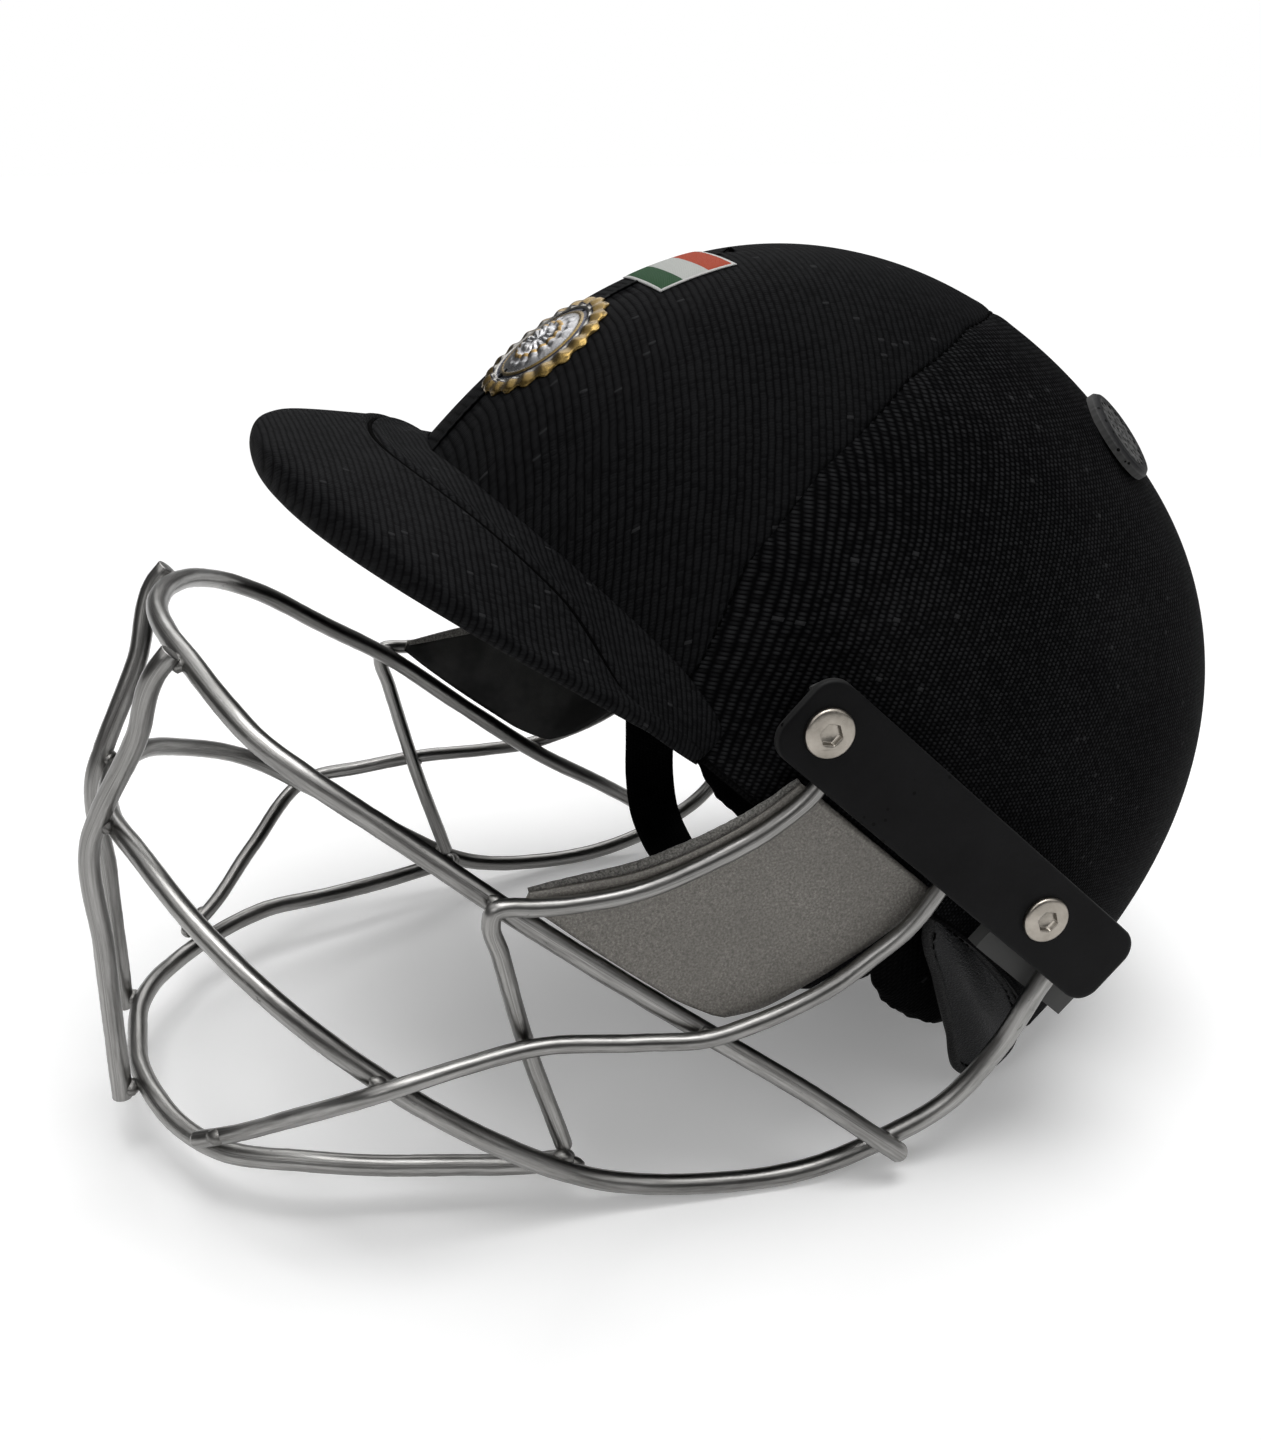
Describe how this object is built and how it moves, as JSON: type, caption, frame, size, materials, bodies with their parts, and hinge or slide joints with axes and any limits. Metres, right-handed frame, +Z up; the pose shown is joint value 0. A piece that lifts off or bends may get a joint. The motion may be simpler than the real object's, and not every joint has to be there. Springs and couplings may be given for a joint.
{
  "type": "helmet",
  "caption": "Batting helmet with a cloth-covered shell and peak, a welded wire face guard with cheek plates, side strips, ear flaps and a padded chin strap.",
  "frame": {"origin": "middle of the footprint on the ground, with the helmet put down on its face guard and its nape", "axes": "+X to the wearer's left, +Y to the rear, -Y to the peak and the face guard, +Z up; the helmet lies tipped back by 43.5 degrees"},
  "size_m": [0.2288, 0.3552, 0.2528],
  "materials": {
    "shell_plastic": "moulded, plain",
    "foam": "expanded foam, matt",
    "pad_cloth": "soft black towelling",
    "ribbed_cloth": "black cloth with fine ribs",
    "knit_cloth": "black knitted mesh",
    "vent_plastic": "grey moulding, satin",
    "badge_metal": "worn bright metal",
    "label_cloth": "printed, three bands with a pale border",
    "steel": "raw steel",
    "spacer_rubber": "matt",
    "strip_plastic": "satin moulding, scuffed",
    "bright_screws": "bright nickel",
    "wire_steel": "raw steel with dark streaks",
    "plate_metal": "matt grey, faintly speckled",
    "flap_leather": "soft black, sewn edge",
    "webbing": "woven band",
    "chin_leather": "soft black, moulded",
    "slider_plastic": "moulded"
  },
  "bodies": {
    "helmet": {"shell": "shell_plastic", "foam_liner": "foam", "brow_pad": "pad_cloth", "crown_pad": "pad_cloth", "nape_pad": "pad_cloth", "front_cover": "ribbed_cloth", "side_cover": "knit_cloth", "peak_core": "shell_plastic", "peak_cover": "ribbed_cloth", "vent_left": "vent_plastic", "vent_right": "vent_plastic", "badge": "badge_metal", "tricolour_label": "label_cloth", "bracket_left": "steel", "bracket_right": "steel", "spacer_front_left": "spacer_rubber", "spacer_front_right": "spacer_rubber", "spacer_rear_left": "spacer_rubber", "spacer_rear_right": "spacer_rubber", "side_strip_left": "strip_plastic", "side_strip_right": "strip_plastic", "cage_screws": "bright_screws", "cage_tee_nuts": "bright_screws", "top_bar": "wire_steel", "lower_bar": "wire_steel", "chin_bar": "wire_steel", "cheek_wire_left": "wire_steel", "cheek_wire_right": "wire_steel", "side_wire_left": "wire_steel", "side_wire_right": "wire_steel", "upright_left": "wire_steel", "upright_right": "wire_steel", "cheek_plate_left": "plate_metal", "cheek_plate_right": "plate_metal", "ear_pad_left": "pad_cloth", "ear_pad_right": "pad_cloth", "strap_hanger_left": "steel", "strap_hanger_right": "steel", "hanger_rivets": "bright_screws"},
    "chin_strap": {"chin_webbing": "webbing", "chin_pad": "chin_leather"},
    "strap_slider": {"strap_slider": "slider_plastic"},
    "ear_flap_left": {"ear_flap_left": "flap_leather"},
    "ear_flap_right": {"ear_flap_right": "flap_leather"}
  },
  "joints": [
    {"name": "chin_strap_swing", "type": "hinge", "parent": "helmet", "child": "chin_strap", "pos_m": [0, 0.02939, 0.07809], "axis": [1, 0, 0], "range_deg": [-60, 8]},
    {"name": "strap_slider_slide", "type": "slide", "parent": "chin_strap", "child": "strap_slider", "axis": [0.9701, 0, 0.2426], "range_m": [-0.008, 0.008]},
    {"name": "ear_flap_left_lift", "type": "hinge", "parent": "helmet", "child": "ear_flap_left", "pos_m": [0.09, 0.05604, 0.07857], "axis": [0.1724, -0.6251, 0.7612], "range_deg": [0, 15], "stiffness_Nm_per_rad": 0.01, "springref_deg": -5.73},
    {"name": "ear_flap_right_lift", "type": "hinge", "parent": "helmet", "child": "ear_flap_right", "pos_m": [-0.09, 0.05604, 0.07857], "axis": [0.1724, 0.6251, -0.7612], "range_deg": [0, 15], "stiffness_Nm_per_rad": 0.01, "springref_deg": -5.73}
  ]
}
